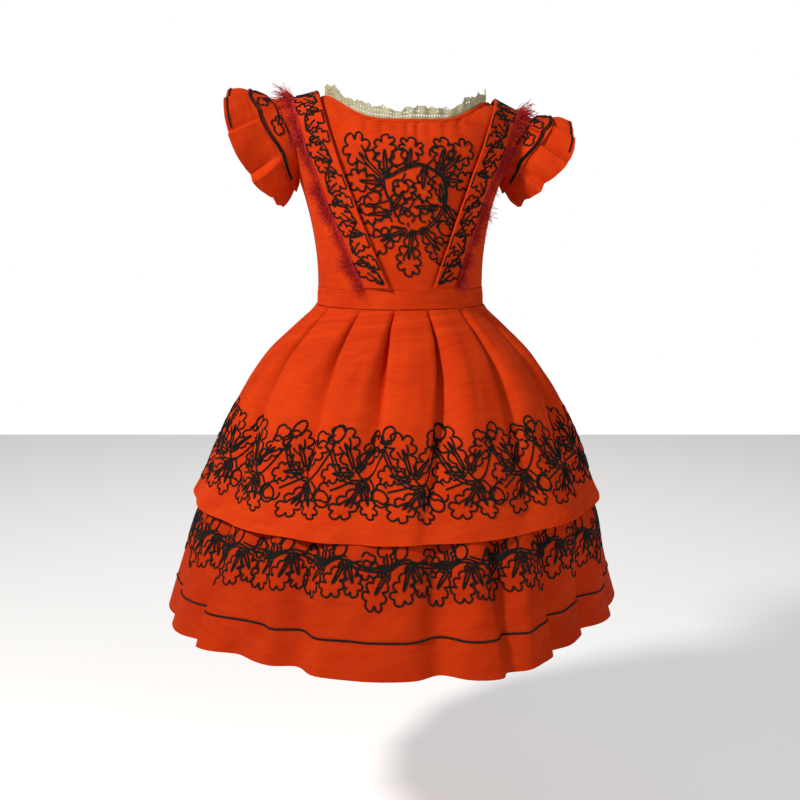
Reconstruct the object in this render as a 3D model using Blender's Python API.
# A small child's full-skirted dress of orange-red wool in two tiers, worn open and hollow.
# Black cord braid, dark red silk fringe and cream lace trim it.
# Metres, +Z up. The front faces -Y. The origin lies between the shoulders, at their height.

from collections import namedtuple
from math import asin, cos, degrees, exp, pi, radians, sin

import bmesh
import bpy
from mathutils import Vector

MM = 0.001

# Heights, measured from the lower edge of the waistband, which lies this far under the shoulders.
SHOULDER_DROP = 222.6 * MM
BAND_HEIGHT = 19.7 * MM
CHEST_HEIGHT = 150.0 * MM
SHOULDER_AT_NECK = 220.0 * MM
SHOULDER_AT_TIP = 211.0 * MM

# Waist, chest and skirt sizes.
WAIST_HALF_WIDTH = 91.5 * MM
WAIST_HALF_DEPTH = 77.0 * MM
CHEST_HALF_DEPTH = 80.0 * MM
SIDE_SPREAD = 25.5 * MM
SPREAD_HEIGHT = 132.0 * MM
SPREAD_POWER = 2.12

# Cloth and gaps.
SEAM_GAP = 0.3 * MM
BODICE_CLOTH = 1.5 * MM
SKIRT_CLOTH = 1.3 * MM
SLEEVE_CLOTH = 1.1 * MM
BRETELLE_CLOTH = 1.2 * MM
LACE_CLOTH = 1.0 * MM

# How the dress hangs: the bodice is turned a little to +X and leans down on that side.
TURN_AT_WAIST = 7.5
TURN_AT_SHOULDER = 2.9
LEAN_DROP = 11.5 * MM
LEAN_REACH = 150.0 * MM
LEAN_POWER = 2.2
LEAN_START = 110.0 * MM
LEAN_RISE = 90.0 * MM

# The girth runs from 0 at the front waist over the shoulder at 1 to 2 at the back waist.
GIRTH_AT_CHEST = 0.53
UNDERARM = 0.469

# Half the gap at a bodice seam, in degrees of the angle and in shares of the girth.
GAP_ANGLE = 0.2
GAP_GIRTH = 0.0014

# Bodice panels: how many cells across and up each has, where a panel's side edge turns from the
# side seam to the armhole, and where a back's top edge turns from the neck to the shoulder.
CENTRE_FRONT_CELLS = (10, 8)
SIDE_FRONT_CELLS = (6, 11)
BACK_CELLS = (10, 10)
ARMHOLE_SPLIT = 0.45
BACK_CORNER = 0.5
CENTRE_TOP_INSET = 2.0

# The waistband: half width and half depth at its lower and at its upper edge.
BAND_LOWER = (93.2 * MM, 78.5 * MM)
BAND_UPPER = (91.9 * MM, 77.5 * MM)
BAND_CLOTH = 2.6 * MM
BAND_STEPS = 48

# Bretelles are the two trimmed bands that run in a V from waist to shoulder.
BRETELLE_INNER_WAIST = 21.4 * MM
BRETELLE_OUTER_WAIST = 49.7 * MM
BRETELLE_INNER_TOP = 94.0 * MM
BRETELLE_OUTER_TOP = 126.0 * MM
BRETELLE_SEAT = 0.7 * MM
BRETELLE_PROUD = 4.2 * MM
SEAM_UNDER_BRETELLE = 4.0 * MM
BRETELLE_ENDS = (0.012, 1.988)
BRETELLE_ROWS = 30
BRETELLE_COLUMNS = (0.0, 0.45, 1.0)

# The neckline is a wide boat shape, deeper in front.
NECK_HALF_ANGLE = 36.0
NECK_DIP_FRONT = 0.275
NECK_DIP_BACK = 0.33
NECK_POWER = 4.2
BINDING_SPAN = (-0.8 * MM, 2.2 * MM)
BINDING_CLOTH = 1.1 * MM
BINDING_STEPS = 64
LACE_STEP_IN = 2.2 * MM
LACE_STEP_AT_SHOULDER = 2.8 * MM
LACE_SINK = 1.7 * MM
LACE_HEIGHT = 13.0 * MM
LACE_RAGGED = 2.2 * MM
LACE_STEPS = 80

# Silk fringe along the outer edge of each bretelle.
FRINGE_LOCKS = 44
FRINGE_HEADING = 0.17
FRINGE_CLOTH = 0.9 * MM
FRINGE_SEAT = 0.55 * MM
LOCK_LENGTH = 14.0 * MM
LOCK_SPAN = (0.1, 0.75)
LOCK_NARROWS = 0.8

# A lock's direction at the waist and on the shoulder: shares outwards, off the cloth and down.
SHOULDER_REACH = 0.35
LOCK_OUTWARD = (0.9, 0.55)
LOCK_LIFT = (0.62, 0.95)
LOCK_DOWN = (0.55, 0.0)

# Sleeves: a cap over a flared frill, with lace inside it.
RIM_CENTRE = Vector((157.0 * MM, 0.0, 158.0 * MM))
RIM_HALF_HEIGHT = 51.0 * MM
RIM_HALF_DEPTH = 47.0 * MM
RIM_TILT = 27.0 * MM
RIM_BULGE = 17.0 * MM
SLEEVE_PUFF = 3.0 * MM
FRILL_FLUTES = 9
FRILL_FLUTE_DEPTH = 4.0 * MM
FRILL_REACHES = (0.011, 0.3, 0.62, 1.0)
CAP_STANDS_OFF = 2.1 * MM
CAP_STEPS = 24
CAP_UNDER_ARM = 0.26
CAP_ON_TOP = 0.50
CAP_FLARE = 3.0 * MM
LACE_SEAT = 1.05 * MM
UNDERARM_SLANT = 0.35
LACE_REACH = 0.72

# Skirts.
UPPER_HEM = -214.0 * MM
LOWER_HEM_FRONT = -334.4 * MM
LOWER_HEM_SIDE_DROP = 17.6 * MM
SKIRT_SWAY = -4.5 * MM
LOWER_TOP = -4.5 * MM
BRAID_LEVEL = 0.898

# The cord at the hem, as corners of its section: mm off the cloth and mm up the skirt.
BRAID_SECTION = ((0.3, -1.2), (0.3, 1.2), (2.0, 0.0))

# Where a pleat has its points, from one valley to the next, and where a tier has its rows.
UPPER_COLUMNS = (0.0, 0.08, 0.2, 0.38, 0.56, 0.72, 0.84, 0.94)
UPPER_ROWS = (0.0, 0.06, 0.14, 0.26, 0.42, 0.60, 0.80, 1.0)
LOWER_COLUMNS = (0.0, 0.12, 0.3, 0.5, 0.7, 0.88)
LOWER_ROWS = (0.0, 0.10, 0.30, 0.61, 0.76, 0.89, 1.0)

# Down a tier: where the folds' depths are given, how wide a valley is on the side that rolls over
# it and on its open side, as shares of the pleat, and how many mm the pleat puffs out.
DEPTH_LEVELS = (0.0, 0.14, 0.5, 1.0)
DEPTH_AT_SEAM = 1.6
WIDTH_LEVELS = (0.0, 0.5, 1.0)
ROLLED_WIDTHS = (0.07, 0.13, 0.20)
OPEN_WIDTHS = (0.16, 0.26, 0.34)
PUFF_LEVELS = (0.0, 0.12, 0.5, 1.0)
PUFFS = (0.8, 2.6, 2.6, 1.2)
PROUD_FROM = 0.6

Section = namedtuple("Section", "drop width depth")
Fold = namedtuple("Fold", "waist hem near middle edge roll proud")

# One row for each level: drop as a share of the tier's length, half width and half depth in mm.
UPPER_SECTIONS = [
    Section(0.00, 93.6, 79.0),
    Section(0.03, 98.0, 83.0),
    Section(0.12, 118.0, 101.0),
    Section(0.23, 142.5, 122.0),
    Section(0.33, 159.0, 136.5),
    Section(0.42, 172.0, 148.0),
    Section(0.56, 188.5, 162.5),
    Section(0.72, 206.0, 178.5),
    Section(0.89, 221.5, 193.0),
    Section(1.00, 234.0, 204.0),
]
LOWER_SECTIONS = [
    Section(0.00, 89.6, 75.2),
    Section(0.03, 92.0, 77.5),
    Section(0.13, 110.0, 93.0),
    Section(0.25, 138.0, 118.0),
    Section(0.44, 180.0, 156.0),
    Section(0.61, 219.5, 193.0),
    Section(0.69, 233.0, 208.0),
    Section(0.81, 246.5, 223.0),
    Section(0.92, 259.0, 236.0),
    Section(1.00, 268.5, 245.0),
]

# One row for each valley between two pleats: its angle at the waist and at the hem in degrees,
# its depth in mm near the waist, at the middle and at the hem, the side that rolls over it, and
# how far in mm the hem stands proud of its oval there.
UPPER_FOLDS = [
    Fold(-173, -176, 8.0, 8.0, 3.0, 1, 0.0),
    Fold(-149, -152, 9.0, 7.0, 2.5, -1, 0.0),
    Fold(-126, -124, 7.5, 8.5, 3.0, -1, 0.0),
    Fold(-103, -101, 8.5, 7.0, 2.5, -1, 0.0),
    Fold(-80, -75, 8.0, 8.0, 3.0, -1, 0.0),
    Fold(-57, -50, 9.0, 9.0, 3.5, -1, 0.0),
    Fold(-27, -27, 9.0, 8.0, 2.5, -1, 0.0),
    Fold(-3.2, -9, 9.0, 8.0, 2.0, -1, 0.0),
    Fold(19.3, 9, 9.5, 9.0, 3.0, 1, 0.0),
    Fold(43, 36, 8.5, 6.0, 2.5, 1, 0.0),
    Fold(66, 62, 8.0, 8.0, 3.0, 1, 0.0),
    Fold(90, 88, 7.5, 7.5, 2.5, 1, 0.0),
    Fold(115, 112, 8.5, 7.0, 3.0, 1, 0.0),
    Fold(139, 138, 8.0, 8.5, 2.5, 1, 0.0),
    Fold(163, 160, 9.0, 7.5, 3.0, 1, 0.0),
]
LOWER_FOLDS = [
    Fold(-163, -163, 2.0, 4.0, 9.0, -1, 0.0),
    Fold(-138, -138, 2.0, 4.0, 7.0, -1, -4.0),
    Fold(-113, -113, 2.0, 4.0, 10.0, -1, 0.0),
    Fold(-92, -92, 2.0, 3.0, 8.0, -1, 0.0),
    Fold(-73, -73, 2.0, 3.0, 7.0, -1, -4.0),
    Fold(-51, -51, 2.0, 5.0, 14.0, -1, 7.0),
    Fold(-37, -37, 1.0, 2.0, 5.0, 0, -7.0),
    Fold(-22.4, -22.4, 2.0, 3.0, 5.5, -1, -1.0),
    Fold(9.3, 9.3, 2.0, 3.0, 5.5, 1, 0.0),
    Fold(23.7, 23.7, 2.0, 5.0, 13.0, 1, 13.0),
    Fold(39, 39, 2.0, 4.0, 9.0, 1, -8.0),
    Fold(56, 56, 2.0, 3.0, 7.0, 1, -25.0),
    Fold(78, 78, 2.0, 4.0, 8.0, 1, -14.0),
    Fold(101, 101, 2.0, 4.0, 9.0, 1, 0.0),
    Fold(125, 125, 2.0, 3.0, 7.0, 1, -4.0),
    Fold(149, 149, 2.0, 4.0, 10.0, 1, 0.0),
    Fold(172, 172, 2.0, 4.0, 8.0, 1, 0.0),
]

# Armhole edge: girth and angle, from the underarm to the shoulder tip.
ARMHOLE = [(UNDERARM, 90.0), (0.53, 75.0), (0.65, 68.5), (0.80, 69.5), (0.92, 74.0), (1.0, 80.0)]

# Base colour, roughness.
FINISHES = {
    "wool": ((0.62, 0.045, 0.012, 1.0), 0.85),
    "silk": ((0.30, 0.012, 0.022, 1.0), 0.55),
    "lace": ((0.60, 0.54, 0.34, 1.0), 0.90),
    "braid": ((0.012, 0.012, 0.011, 1.0), 0.70),
}


def ease(share):
    """Go from 0 to 1 with no corner at either end."""
    share = min(max(share, 0.0), 1.0)
    return share * share * (3.0 - 2.0 * share)


def blend(start, end, share):
    return start + (end - start) * share


def along(keys, values, at):
    """Read a smooth curve through the given values at the given keys."""
    if at <= keys[0]:
        return values[0]
    if at >= keys[-1]:
        return values[-1]
    i = max(k for k in range(len(keys) - 1) if keys[k] <= at)
    last = len(keys) - 1
    slopes = []
    for k in (i, i + 1):
        before, after = max(k - 1, 0), min(k + 1, last)
        slopes.append((values[after] - values[before]) / (keys[after] - keys[before]))
    step = keys[i + 1] - keys[i]
    t = (at - keys[i]) / step
    start = (2 * t**3 - 3 * t**2 + 1) * values[i] + (t**3 - 2 * t**2 + t) * step * slopes[0]
    return start + (3 * t**2 - 2 * t**3) * values[i + 1] + (t**3 - t**2) * step * slopes[1]


def hung(x, y, height):
    """Turn a point whose height is taken from the waist into the dress's own frame."""
    side = 1.0 if x > 0 else -1.0
    lean = LEAN_DROP * (abs(x) / LEAN_REACH) ** LEAN_POWER
    fall = side * lean * ease((height - LEAN_START) / LEAN_RISE)
    return Vector((x, y, height - fall - SHOULDER_DROP))


def half_width(height):
    """Half width of the bodice at a height over the lower edge of the waistband."""
    above = max(height - BAND_HEIGHT, 0.0)
    return WAIST_HALF_WIDTH + SIDE_SPREAD * (above / SPREAD_HEIGHT) ** SPREAD_POWER


def bodice_point(angle, girth):
    """A point of the bodice's outer face: angle from the centre line, girth over the shoulder."""
    back = girth > 1.0
    g = 2.0 - girth if back else girth
    turn = blend(TURN_AT_WAIST, TURN_AT_SHOULDER, g)
    if back:
        turn = blend(-turn, TURN_AT_SHOULDER, ease((g - UNDERARM) / (1.0 - UNDERARM)))
    phi = radians(angle + turn)
    sideways = abs(sin(radians(angle)))
    top = blend(SHOULDER_AT_NECK, SHOULDER_AT_TIP, ease((sideways - 0.5) / 0.5))
    if g < GIRTH_AT_CHEST:
        share = g / GIRTH_AT_CHEST
        height = blend(BAND_HEIGHT + SEAM_GAP, CHEST_HEIGHT, share)
        depth = blend(WAIST_HALF_DEPTH, CHEST_HALF_DEPTH, ease(share))
    else:
        arch = 0.5 * pi * (g - GIRTH_AT_CHEST) / (1.0 - GIRTH_AT_CHEST)
        height = blend(CHEST_HEIGHT, top, sin(arch))
        depth = CHEST_HALF_DEPTH * cos(arch)
    facing = 1.0 if back else -1.0
    return hung(half_width(height) * sin(phi), facing * depth * cos(phi), height)


def bodice_normal(angle, girth):
    step_a, step_g = 0.5, 0.004
    low = min(max(girth - step_g, 0.0), 2.0 - 2 * step_g)
    across = bodice_point(angle + step_a, girth) - bodice_point(angle - step_a, girth)
    upward = bodice_point(angle, low + 2 * step_g) - bodice_point(angle, low)
    return across.cross(upward).normalized()


def on_bodice(angle, girth, out):
    """A bodice point moved out from the cloth."""
    return bodice_point(angle, girth) + bodice_normal(angle, girth) * out


def height_at(girth):
    g = 2.0 - girth if girth > 1.0 else girth
    if g < GIRTH_AT_CHEST:
        return blend(BAND_HEIGHT, CHEST_HEIGHT, g / GIRTH_AT_CHEST)
    arch = 0.5 * pi * (g - GIRTH_AT_CHEST) / (1.0 - GIRTH_AT_CHEST)
    return blend(CHEST_HEIGHT, SHOULDER_AT_NECK, sin(arch))


def line_angle(at_waist, at_top, girth):
    """Angle of a straight seam that runs from one half width at the waist to another on top."""
    height = height_at(girth)
    share = (height - BAND_HEIGHT) / (SHOULDER_AT_NECK - BAND_HEIGHT)
    x = blend(at_waist, at_top, share)
    return degrees(asin(min(x / half_width(height), 0.999)))


def neckline(turn, shrink=0.0):
    """Angle and girth of the neckline, turn 0 at the front, a quarter at +X and half at the back."""
    around = 2.0 * pi * turn
    dip = (1.0 - abs(sin(around)) ** NECK_POWER) * (1.0 if cos(around) >= 0 else -1.0)
    depth = NECK_DIP_FRONT if cos(around) >= 0 else NECK_DIP_BACK
    angle = NECK_HALF_ANGLE * sin(around)
    return angle * (1.0 - shrink), 1.0 - depth * dip * (1.0 - shrink)


def neck_girth(angle):
    """Girth of the front neckline at an angle."""
    share = min(abs(angle) / NECK_HALF_ANGLE, 1.0)
    return 1.0 - NECK_DIP_FRONT * (1.0 - share**NECK_POWER)


def armhole_edge(share):
    """Angle and girth of the armhole's front edge, from the underarm at 0 to the tip at 1."""
    girths = [row[0] for row in ARMHOLE]
    angles = [row[1] for row in ARMHOLE]
    girth = blend(girths[0], girths[-1], share)
    return along(girths, angles, girth), girth


def finish(kind):
    colour, roughness = FINISHES[kind]
    material = bpy.data.materials.new(kind)
    material.use_nodes = True
    shader = material.node_tree.nodes["Principled BSDF"]
    shader.inputs["Base Color"].default_value = colour
    shader.inputs["Roughness"].default_value = roughness
    shader.inputs["Metallic"].default_value = 0.0
    material.diffuse_color = colour
    return material


def body_from(name, points, faces, kind):
    """Make one closed object of points and faces, with its faces pointing out."""
    mesh = bpy.data.meshes.new(name)
    bm = bmesh.new()
    corners = [bm.verts.new(p) for p in points]
    for face in faces:
        bm.faces.new([corners[i] for i in face])
    if bm.calc_volume(signed=True) < 0.0:
        bmesh.ops.reverse_faces(bm, faces=bm.faces)
    bm.to_mesh(mesh)
    bm.free()
    mesh.shade_smooth()
    mesh.set_sharp_from_angle(angle=radians(50))
    thing = bpy.data.objects.new(name, mesh)
    bpy.context.scene.collection.objects.link(thing)
    mesh.materials.append(finish(kind))
    return thing


def face_normals(grid, closed, rows_up):
    """Outward directions at the points of a sheet whose columns run round towards +X in front."""
    rows, columns = len(grid), len(grid[0])
    sign = 1.0 if rows_up else -1.0
    normals = []
    for r in range(rows):
        line = []
        for c in range(columns):
            if closed:
                left, right = grid[r][c - 1], grid[r][(c + 1) % columns]
            else:
                left, right = grid[r][max(c - 1, 0)], grid[r][min(c + 1, columns - 1)]
            under, over = grid[max(r - 1, 0)][c], grid[min(r + 1, rows - 1)][c]
            line.append((right - left).cross(over - under).normalized() * sign)
        normals.append(line)
    return normals


def wall(name, grid, thickness, kind, closed=False, rows_up=True, normals=None):
    """Give a sheet of points a thickness inwards and close it into one solid."""
    rows, columns = len(grid), len(grid[0])
    normals = normals or face_normals(grid, closed, rows_up)
    outer = [grid[r][c] for r in range(rows) for c in range(columns)]
    inner = [
        grid[r][c] - normals[r][c] * thickness for r in range(rows) for c in range(columns)
    ]
    count = rows * columns
    spans = columns if closed else columns - 1
    faces = []
    for r in range(rows - 1):
        for c in range(spans):
            d = (c + 1) % columns
            a, b, e, f = r * columns + c, r * columns + d, (r + 1) * columns + d, (r + 1) * columns + c
            faces.append((a, b, e, f))
            faces.append((count + a, count + f, count + e, count + b))
    for c in range(spans):
        d = (c + 1) % columns
        top = (rows - 1) * columns
        faces.append((c, count + c, count + d, d))
        faces.append((top + c, top + d, count + top + d, count + top + c))
    if not closed:
        for r in range(rows - 1):
            a, b = r * columns, (r + 1) * columns
            faces.append((a, b, count + b, count + a))
            a, b = a + columns - 1, b + columns - 1
            faces.append((a, count + a, count + b, b))
    return body_from(name, outer + inner, faces, kind)


def patch(bottom, top, left, right, cells):
    """Fill the area between four edges, each a function from 0 to 1 to (angle, girth)."""
    columns, rows = cells
    grid = []
    for r in range(rows + 1):
        t = r / rows
        line = []
        for c in range(columns + 1):
            s = c / columns
            values = []
            for k in (0, 1):
                edges = (1 - t) * bottom(s)[k] + t * top(s)[k]
                edges += (1 - s) * left(t)[k] + s * right(t)[k]
                low = (1 - s) * bottom(0)[k] + s * bottom(1)[k]
                high = (1 - s) * top(0)[k] + s * top(1)[k]
                values.append(edges - (1 - t) * low - t * high)
            line.append(values)
        grid.append(line)
    return grid


def panel(name, grid):
    """Cut one bodice panel from a grid of angles and girths."""
    outer = [[bodice_point(*spot) for spot in line] for line in grid]
    normals = [[bodice_normal(*spot) for spot in line] for line in grid]
    wall(name, outer, BODICE_CLOTH, "wool", normals=normals)


def seam_angle(girth):
    inner = BRETELLE_INNER_WAIST + SEAM_UNDER_BRETELLE
    return line_angle(inner, BRETELLE_INNER_TOP, girth)


def centre_front():
    """The front panel between the bretelles, below the neckline."""
    top_angle = seam_angle(1.0) - CENTRE_TOP_INSET

    def side(sign):
        def edge(t):
            girth = t * neck_girth(top_angle)
            return sign * (seam_angle(girth) - GAP_ANGLE), girth

        return edge

    def low(s):
        return blend(-1.0, 1.0, s) * side(1)(0)[0], 0.0

    def high(s):
        angle = blend(-1.0, 1.0, s) * side(1)(1)[0]
        return angle, neck_girth(angle)

    panel("centre_front", patch(low, high, side(-1), side(1), CENTRE_FRONT_CELLS))


def armhole_or_side(t):
    """Side seam up to the underarm, then the front edge of the armhole."""
    if t < ARMHOLE_SPLIT:
        return 90.0 - GAP_ANGLE, UNDERARM * t / ARMHOLE_SPLIT
    angle, girth = armhole_edge((t - ARMHOLE_SPLIT) / (1.0 - ARMHOLE_SPLIT))
    return angle - GAP_ANGLE, min(girth, 1.0 - GAP_GIRTH)


def side_fronts():
    """The plain fronts from the seam under the bretelle to the side seam and the armhole."""
    top = 1.0 - GAP_GIRTH

    def inner(t):
        girth = t * top
        return seam_angle(girth) + GAP_ANGLE, girth

    def low(s):
        return blend(inner(0)[0], 90.0 - GAP_ANGLE, s), 0.0

    def high(s):
        return blend(inner(1)[0], armhole_or_side(1)[0], s), top

    panel("side_front_left", patch(low, high, inner, armhole_or_side, SIDE_FRONT_CELLS))
    edges = (flip(low, True), flip(high, True), flip(armhole_or_side), flip(inner))
    panel("side_front_right", patch(*edges, SIDE_FRONT_CELLS))


def flip(edge, turned=False):
    """The same edge on the -X side, turned round where it runs across the panel."""

    def flipped(s):
        angle, girth = edge(1.0 - s if turned else s)
        return -angle, girth

    return flipped


def turned_round(edge):
    return lambda s: edge(1.0 - s)


def backs():
    """Two back pieces that close edge to edge at the centre back."""
    tip = ARMHOLE[-1][1]

    def behind(girth):
        return 2.0 - girth

    def centre(t):
        return GAP_ANGLE, behind(t * (1.0 - NECK_DIP_BACK))

    def low(s):
        return blend(GAP_ANGLE, 90.0 - GAP_ANGLE, s), behind(0.0)

    def high(s):
        if s < BACK_CORNER:
            angle = blend(GAP_ANGLE, NECK_HALF_ANGLE, s / BACK_CORNER)
            dip = 1.0 - (angle / NECK_HALF_ANGLE) ** NECK_POWER
            return angle, behind(1.0 - NECK_DIP_BACK * dip - GAP_GIRTH)
        share = (s - BACK_CORNER) / (1.0 - BACK_CORNER)
        return blend(NECK_HALF_ANGLE, tip - GAP_ANGLE, share), behind(1.0 - GAP_GIRTH)

    def outer(t):
        angle, girth = armhole_or_side(t)
        return angle, behind(girth)

    edges = (turned_round(low), turned_round(high), outer, centre)
    panel("back_left", patch(*edges, BACK_CELLS))
    edges = (flip(low), flip(high), flip(centre), flip(outer))
    panel("back_right", patch(*edges, BACK_CELLS))


def bretelle_point(side, girth, across, out):
    """A point over a bretelle: across 0 at its inner edge and 1 at its outer edge."""
    inner = line_angle(BRETELLE_INNER_WAIST, BRETELLE_INNER_TOP, girth)
    outer = line_angle(BRETELLE_OUTER_WAIST, BRETELLE_OUTER_TOP, girth)
    proud = BRETELLE_PROUD * (1.0 - across) ** 2
    return on_bodice(side * blend(inner, outer, across), girth, out + proud)


def bretelles():
    """Bands from the front waist over the shoulder to the back waist, inner edge standing proud."""
    for name, side in (("bretelle_left", 1), ("bretelle_right", -1)):
        grid = []
        for r in range(BRETELLE_ROWS + 1):
            girth = blend(*BRETELLE_ENDS, r / BRETELLE_ROWS)
            line = [
                bretelle_point(side, girth, s, BRETELLE_SEAT + BRETELLE_CLOTH)
                for s in BRETELLE_COLUMNS
            ]
            grid.append(line if side > 0 else line[::-1])
        wall(name, grid, BRETELLE_CLOTH, "wool")


def fringes():
    """Silk fringe: a narrow heading on each bretelle's outer edge, with locks drawn out of it."""
    for name, side in (("fringe_left", 1), ("fringe_right", -1)):
        fringe(name, side)


def fringe(name, side):
    base = BRETELLE_SEAT + BRETELLE_CLOTH + FRINGE_SEAT
    stations = []
    for k in range(FRINGE_LOCKS):
        for place in LOCK_SPAN:
            stations.append(blend(*BRETELLE_ENDS, (k + place) / FRINGE_LOCKS))
    points, faces = [], []
    for girth in stations:
        for across, out in (
            (1.0 - FRINGE_HEADING, base),
            (1.0, base),
            (1.0, base + FRINGE_CLOTH),
            (1.0 - FRINGE_HEADING, base + FRINGE_CLOTH),
        ):
            points.append(bretelle_point(side, girth, across, out))
    count = len(stations)
    for i in range(count - 1):
        a, b = 4 * i, 4 * (i + 1)
        for j, k in ((0, 1), (2, 3), (3, 0)):
            faces.append((a + j, a + k, b + k, b + j))
        if i % 2 == 1:
            faces.append((a + 1, a + 2, b + 2, b + 1))
    faces.append((0, 3, 2, 1))
    end = 4 * (count - 1)
    faces.append((end, end + 1, end + 2, end + 3))
    for k in range(FRINGE_LOCKS):
        add_lock(points, faces, side, stations[2 * k], stations[2 * k + 1], 8 * k, k)
    body_from(name, points, faces, "silk")


def add_lock(points, faces, side, start, end, first, number):
    """Draw one lock out of the heading's edge between two stations."""
    root = [first + 1, first + 2, first + 6, first + 5]
    girth = 0.5 * (start + end)
    top = ease(1.0 - abs(girth - 1.0) / SHOULDER_REACH)
    length = LOCK_LENGTH * (1.0 + 0.22 * sin(2.3 * number) + 0.12 * sin(5.1 * number))
    edge = bretelle_point(side, girth, 1.0, 0.0)
    outward = (edge - bretelle_point(side, girth, 1.0 - FRINGE_HEADING, 0.0)).normalized()
    lift = bodice_normal(side * line_angle(BRETELLE_OUTER_WAIST, BRETELLE_OUTER_TOP, girth), girth)
    down = Vector((0.0, 0.0, -blend(*LOCK_DOWN, top)))
    path = (outward * blend(*LOCK_OUTWARD, top) + lift * blend(*LOCK_LIFT, top) + down).normalized()
    sway = Vector((0.0, 0.0, 0.18 * sin(3.7 * number)))
    middle = path * (0.5 * length)
    far = (path + sway + down * 0.4).normalized() * length
    centre = sum((points[i] for i in root), Vector()) / 4.0
    ring = []
    for i in root:
        ring.append(len(points))
        points.append(centre + (points[i] - centre) * LOCK_NARROWS + middle)
    tip = len(points)
    points.append(centre + far)
    for j in range(4):
        k = (j + 1) % 4
        faces.append((root[j], root[k], ring[k], ring[j]))
        faces.append((ring[j], ring[k], tip))


def sleeve_root(side, turn):
    """The armhole ring, turn 0 at the underarm, a quarter in front, half on top."""
    share = 1.0 - abs(1.0 - 2.0 * turn)
    angle, girth = armhole_edge(0.5 - 0.5 * cos(pi * share))
    return bodice_point(side * angle, girth if turn <= 0.5 else 2.0 - girth)


def sleeve_point(side, turn, reach, out, flute=0.0):
    """A point of the sleeve: reach 0 at the armhole and 1 at the frill's rim."""
    around = 2.0 * pi * turn
    up, fore = -cos(around), -sin(around)
    x = RIM_CENTRE.x + RIM_TILT * up + RIM_BULGE * (1.0 - up * up)
    rim = hung(side * x, RIM_HALF_DEPTH * fore, RIM_CENTRE.z + RIM_HALF_HEIGHT * up)
    root = sleeve_root(side, turn)
    waves = cos(2.0 * pi * FRILL_FLUTES * (turn + 0.012 * sin(2.0 * around)))
    off = out + SLEEVE_PUFF * sin(pi * reach) + flute * waves * ease((reach - 0.4) / 0.6)
    under = max(-up, 0.0) ** 2
    off += (CAP_FLARE * reach + 0.5 * out * under) if out > 0.0 else 0.0
    return root.lerp(rim, reach) + Vector((-UNDERARM_SLANT * side * under, fore, up)) * off


def sleeve_sheet(side, turns, reaches, out, flute=0.0):
    """Rows run outwards; columns run so that the faces point out on either side."""
    grid = []
    for share in reaches:
        line = []
        for c in range(turns):
            turn = c / turns
            reach = share(turn) if callable(share) else share
            line.append(sleeve_point(side, turn, reach, out, flute))
        grid.append(line)
    return grid


def cap_reach(share):
    """The cap is longest on top of the arm and short under it."""


    def reach(turn):
        length = blend(CAP_UNDER_ARM, CAP_ON_TOP, 0.5 - 0.5 * cos(2.0 * pi * turn))
        return blend(FRILL_REACHES[0], length, share)

    return reach


def sleeves():
    for word, side in (("left", 1), ("right", -1)):
        rows_up = side < 0
        steps = [cap_reach(s) for s in (0.0, 0.5, 1.0)]
        cap = sleeve_sheet(side, CAP_STEPS, steps, CAP_STANDS_OFF)
        wall("sleeve_cap_" + word, cap, SLEEVE_CLOTH, "wool", closed=True, rows_up=rows_up)
        frill = sleeve_sheet(side, 4 * FRILL_FLUTES, FRILL_REACHES, 0.0, FRILL_FLUTE_DEPTH)
        wall("sleeve_frill_" + word, frill, SLEEVE_CLOTH, "wool", closed=True, rows_up=rows_up)
        sleeve_lace("sleeve_lace_" + word, frill, rows_up)


def sleeve_lace(name, frill, rows_up):
    """Lace that lies against the inside of a frill, from its last row but one towards the rim."""
    normals = face_normals(frill, True, rows_up)
    inside = SLEEVE_CLOTH + LACE_SEAT
    grid = []
    for share in (0.0, LACE_REACH):
        line = []
        for c in range(len(frill[0])):
            spot = frill[-2][c].lerp(frill[-1][c], share)
            normal = normals[-2][c].lerp(normals[-1][c], share).normalized()
            line.append(spot - normal * inside)
        grid.append(line)
    wall(name, grid, LACE_CLOTH, "lace", closed=True, rows_up=rows_up)


def neck_spot(turn, inward):
    """Angle and girth at a distance from the neckline towards the middle of the neck opening."""
    trial = 0.08
    reach = (bodice_point(*neckline(turn, trial)) - bodice_point(*neckline(turn))).length
    return neckline(turn, trial * inward / reach)


def neck_trims():
    """A narrow binding on the neckline, and the lace that stands up inside it."""
    grid = []
    for inward in BINDING_SPAN:
        spots = [neck_spot(c / BINDING_STEPS, inward) for c in range(BINDING_STEPS)]
        grid.append([on_bodice(angle, girth, SEAM_GAP + BINDING_CLOTH) for angle, girth in spots])
    wall("neck_binding", grid, BINDING_CLOTH, "wool", closed=True)
    low, high = [], []
    for c in range(LACE_STEPS):
        turn = c / LACE_STEPS
        inward = blend(LACE_STEP_IN, LACE_STEP_AT_SHOULDER, sin(2.0 * pi * turn) ** 4)
        angle, girth = neck_spot(turn, inward)
        foot = on_bodice(angle, girth, -LACE_SINK)
        ragged = 0.5 * sin(5.3 * c) + 0.5 * sin(2.1 * c + 1.0)
        low.append(foot)
        high.append(foot + Vector((0.0, 0.0, LACE_HEIGHT + LACE_RAGGED * ragged)))
    wall("neck_lace", [low, high], LACE_CLOTH, "lace", closed=True)


def waistband():
    """The plain band, two cloths thick."""
    grid = []
    for height, (width, depth) in ((0.0, BAND_LOWER), (BAND_HEIGHT, BAND_UPPER)):
        line = []
        for c in range(BAND_STEPS):
            around = 2.0 * pi * c / BAND_STEPS
            line.append(Vector((width * sin(around), -depth * cos(around), height - SHOULDER_DROP)))
        grid.append(line)
    wall("waistband", grid, BAND_CLOTH, "wool", closed=True)


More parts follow.
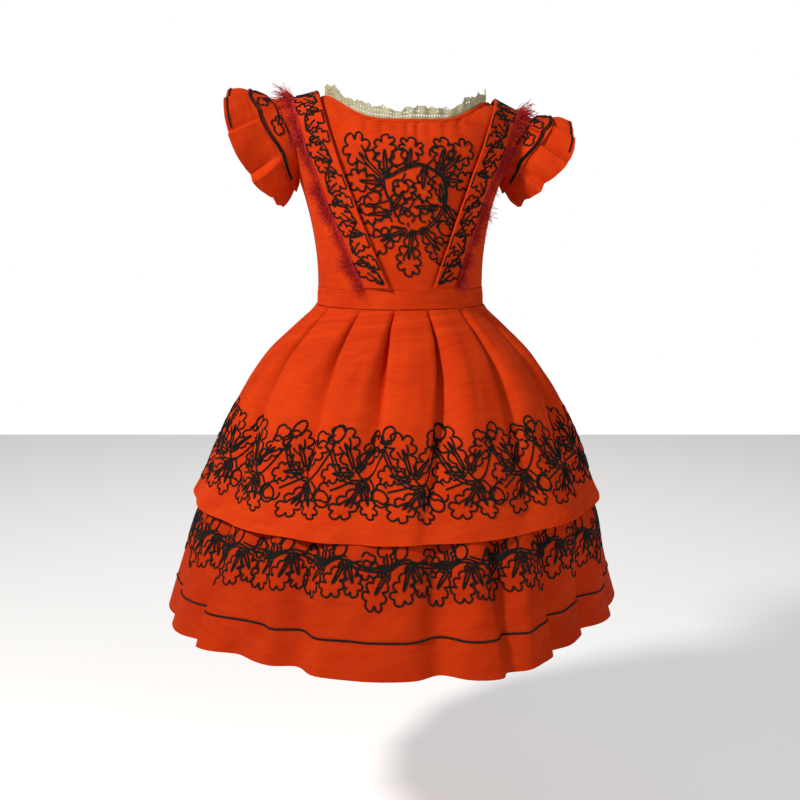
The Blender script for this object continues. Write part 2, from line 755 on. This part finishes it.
def skirt_point(sections, folds, top, hem, place, drop):
    """A point of a tier: place counts valleys and the share of the pleat after each."""
    count = len(folds)
    k = int(place) % count
    f = place - int(place)
    here, after = folds[k], folds[(k + 1) % count]
    begin = blend(here.waist, here.hem, drop)
    end = blend(after.waist, after.hem, drop) + (360.0 if k == count - 1 else 0.0)
    depths = (DEPTH_AT_SEAM, here.near, here.middle, here.edge)
    deep_here = along(DEPTH_LEVELS, depths, drop)
    depths = (DEPTH_AT_SEAM, after.near, after.middle, after.edge)
    deep_after = along(DEPTH_LEVELS, depths, drop)
    narrow = along(WIDTH_LEVELS, ROLLED_WIDTHS, drop)
    broad = along(WIDTH_LEVELS, OPEN_WIDTHS, drop)
    wide_here = narrow if here.roll < 0 else broad
    wide_after = narrow if after.roll > 0 else broad
    dip = deep_here * exp(-((f / wide_here) ** 2)) + deep_after * exp(-(((1.0 - f) / wide_after) ** 2))
    puff = along(PUFF_LEVELS, PUFFS, drop) * sin(pi * f)
    puff += blend(here.proud, after.proud, ease(f)) * ease((drop - PROUD_FROM) / (1.0 - PROUD_FROM))
    phi = radians(blend(begin, end, f))
    keys = [row.drop for row in sections]
    width = along(keys, [row.width for row in sections], drop) * MM
    depth = along(keys, [row.depth for row in sections], drop) * MM
    out = Vector((sin(phi) / width, -cos(phi) / depth, 0.0)).normalized()
    z = blend(top, hem(phi), drop)
    spot = Vector((width * sin(phi), -depth * cos(phi), z - SHOULDER_DROP)) + out * (puff - dip) * MM
    spot.x += SKIRT_SWAY * drop * abs(hem(phi) / hem(0.0))
    return spot


def upper_hem(phi):
    """The upper tier's hem is level all round."""
    return UPPER_HEM


def lower_hem(phi):
    return LOWER_HEM_FRONT - LOWER_HEM_SIDE_DROP * sin(phi) ** 6


def skirts():
    """The long under tier from the waist, the upper tier over it, and the line of braid."""
    grid = []
    for drop in UPPER_ROWS:
        places = [k + f for k in range(len(UPPER_FOLDS)) for f in UPPER_COLUMNS]
        spots = [
            skirt_point(UPPER_SECTIONS, UPPER_FOLDS, -SEAM_GAP, upper_hem, p, drop) for p in places
        ]
        grid.append(spots)
    wall("upper_skirt", grid, SKIRT_CLOTH, "wool", closed=True, rows_up=False)
    places = [k + f for k in range(len(LOWER_FOLDS)) for f in LOWER_COLUMNS]
    grid = []
    for drop in LOWER_ROWS:
        grid.append(
            [skirt_point(LOWER_SECTIONS, LOWER_FOLDS, LOWER_TOP, lower_hem, p, drop) for p in places]
        )
    wall("lower_skirt", grid, SKIRT_CLOTH, "wool", closed=True, rows_up=False)
    hem_braid(grid)


def hem_braid(grid):
    """The line of cord laid round the under tier, made from the tier's own points moved out."""
    normals = face_normals(grid, True, False)
    share = (BRAID_LEVEL - LOWER_ROWS[-2]) / (LOWER_ROWS[-1] - LOWER_ROWS[-2])
    rings = []
    for out, rise in BRAID_SECTION:
        ring = []
        for c in range(len(grid[0])):
            spot = grid[-2][c].lerp(grid[-1][c], share)
            normal = normals[-2][c].lerp(normals[-1][c], share).normalized()
            slope = (grid[-2][c] - grid[-1][c]).normalized()
            ring.append(spot + normal * out * MM + slope * rise * MM)
        rings.append(ring)
    count = len(grid[0])
    faces = []
    for k in range(3):
        for c in range(count):
            d = (c + 1) % count
            a, b = k * count, (k + 1) % 3 * count
            faces.append((a + c, a + d, b + d, b + c))
    body_from("hem_braid", [spot for ring in rings for spot in ring], faces, "braid")


def main():
    for thing in list(bpy.data.objects):
        bpy.data.objects.remove(thing, do_unlink=True)
    centre_front()
    side_fronts()
    backs()
    bretelles()
    fringes()
    sleeves()
    neck_trims()
    waistband()
    skirts()


main()
